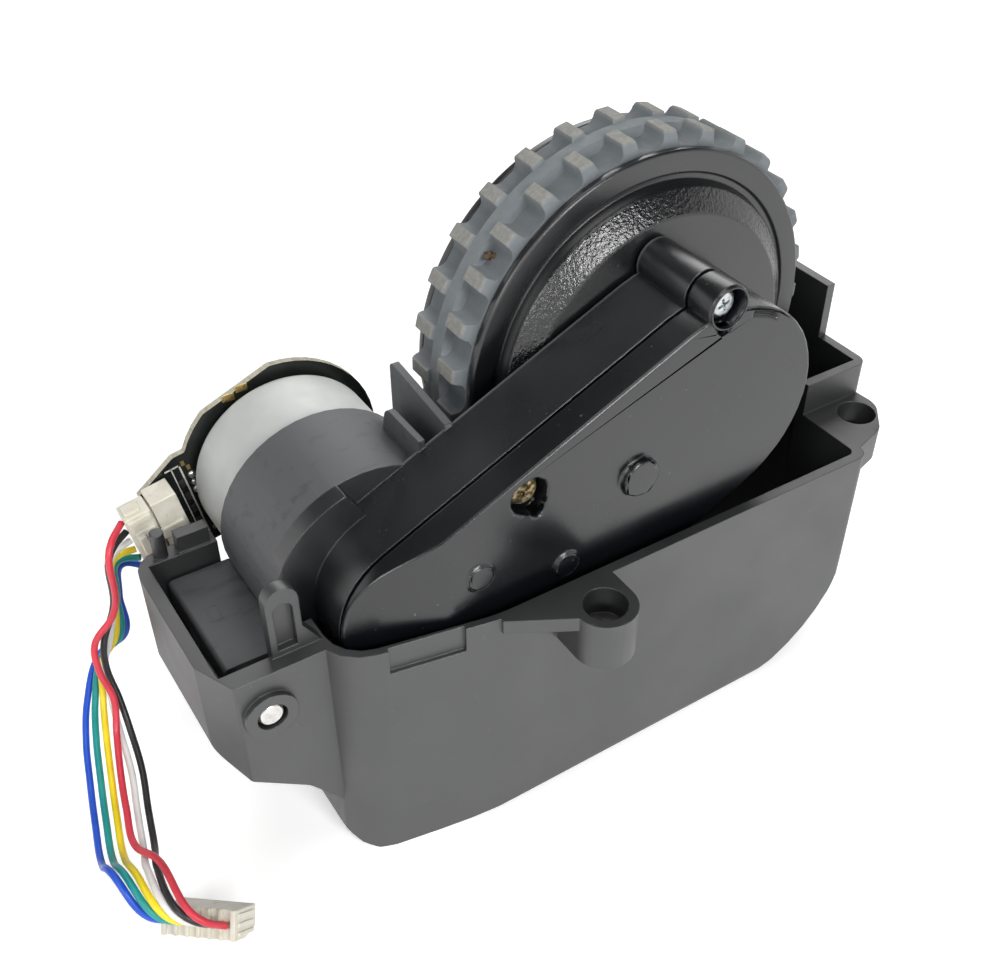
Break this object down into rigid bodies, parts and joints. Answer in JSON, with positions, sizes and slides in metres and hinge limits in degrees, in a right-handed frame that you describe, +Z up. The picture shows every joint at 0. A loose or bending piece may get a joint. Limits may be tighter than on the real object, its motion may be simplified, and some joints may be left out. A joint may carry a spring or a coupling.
{
  "type": "robot vacuum wheel module",
  "caption": "Drive wheel module: treaded wheel on a sprung gearbox arm with motor, encoder board and wire harness, hinged in a moulded plastic tub with screw ears.",
  "frame": {"origin": "on the tub's flat underside, below the wheel's axis, at the plane of the tyre's near side", "axes": "+Z up from the underside to the wheel, +Y along the wheel's axis from the gearbox to the wheel, +X from the pivot pin towards the wheel"},
  "size_m": [0.1451, 0.0665, 0.0969],
  "materials": {
    "housing_plastic": "fine satin moulding grain",
    "shell_plastic": "satin",
    "hub_plastic": "half gloss",
    "tyre_rubber": "dusty matt",
    "zinc_steel": "zinc plated satin",
    "bright_steel": "ground",
    "brass": "dull",
    "bronze": "sintered",
    "ferrite": "matt",
    "board_black": "solder resist",
    "moulded_black": "matt",
    "ivory_nylon": "natural nylon",
    "gear_acetal": "natural",
    "wire_red": "PVC",
    "wire_black": "PVC",
    "wire_white": "PVC",
    "wire_yellow": "PVC",
    "wire_green": "PVC",
    "wire_blue": "PVC"
  },
  "bodies": {
    "housing": {"housing": "housing_plastic", "pivot_pin": "bright_steel", "arm_spring": "bright_steel"},
    "arm": {"gearbox_base": "shell_plastic", "gearbox_cover": "shell_plastic", "cover_screw_top": "zinc_steel", "cover_screw_middle": "brass", "cover_screw_tail": "zinc_steel", "cover_screw_low": "zinc_steel", "motor_can": "zinc_steel", "motor_end_cap": "moulded_black", "motor_screw_low": "zinc_steel", "motor_screw_high": "zinc_steel", "encoder_board": "board_black", "motor_terminal_left": "brass", "motor_terminal_right": "brass", "hall_sensor_a": "moulded_black", "hall_sensor_b": "moulded_black", "board_header": "ivory_nylon", "harness_plug": "ivory_nylon", "end_connector": "ivory_nylon", "wire_red": "wire_red", "wire_black": "wire_black", "wire_white": "wire_white", "wire_yellow": "wire_yellow", "wire_green": "wire_green", "wire_blue": "wire_blue", "first_axle": "bright_steel", "second_axle": "bright_steel", "third_axle": "bright_steel", "cover_bush": "bronze", "base_bush": "bronze"},
    "rotor": {"motor_shaft": "bright_steel", "motor_pinion": "brass", "encoder_magnet": "ferrite"},
    "gear_first": {"first_gear": "gear_acetal"},
    "gear_second": {"second_gear": "gear_acetal"},
    "gear_third": {"third_gear": "gear_acetal"},
    "wheel": {"output_gear": "gear_acetal", "output_shaft": "bright_steel", "wheel_hub": "hub_plastic", "wheel_tyre": "tyre_rubber", "wheel_washer": "zinc_steel", "wheel_screw": "zinc_steel"}
  },
  "joints": [
    {"name": "arm_swing", "type": "hinge", "parent": "housing", "child": "arm", "pos_m": [-0.0761, 0, 0.037], "axis": [0, 1, 0], "range_deg": [0, 17.5], "stiffness_Nm_per_rad": 0.65, "springref_deg": -34.38, "deforming": ["arm_spring"]},
    {"name": "wheel_spin", "type": "hinge", "parent": "arm", "child": "wheel", "pos_m": [0, 0, 0.062], "axis": [0, 1, 0], "continuous": true},
    {"name": "third_spin", "type": "hinge", "parent": "arm", "child": "gear_third", "pos_m": [-0.0171, 0, 0.0572], "axis": [0, 1, 0], "continuous": true},
    {"name": "second_spin", "type": "hinge", "parent": "arm", "child": "gear_second", "pos_m": [-0.0296, 0, 0.0458], "axis": [0, 1, 0], "continuous": true},
    {"name": "first_spin", "type": "hinge", "parent": "arm", "child": "gear_first", "pos_m": [-0.0444, 0, 0.0505], "axis": [0, 1, 0], "continuous": true},
    {"name": "rotor_spin", "type": "hinge", "parent": "arm", "child": "rotor", "pos_m": [-0.0536, 0, 0.0456], "axis": [0, 1, 0], "continuous": true}
  ],
  "couplings": [
    {"joint": "third_spin", "follows": "wheel_spin", "ratio": -2.6667},
    {"joint": "second_spin", "follows": "wheel_spin", "ratio": 8},
    {"joint": "first_spin", "follows": "wheel_spin", "ratio": -26.667},
    {"joint": "rotor_spin", "follows": "wheel_spin", "ratio": 82.667}
  ]
}
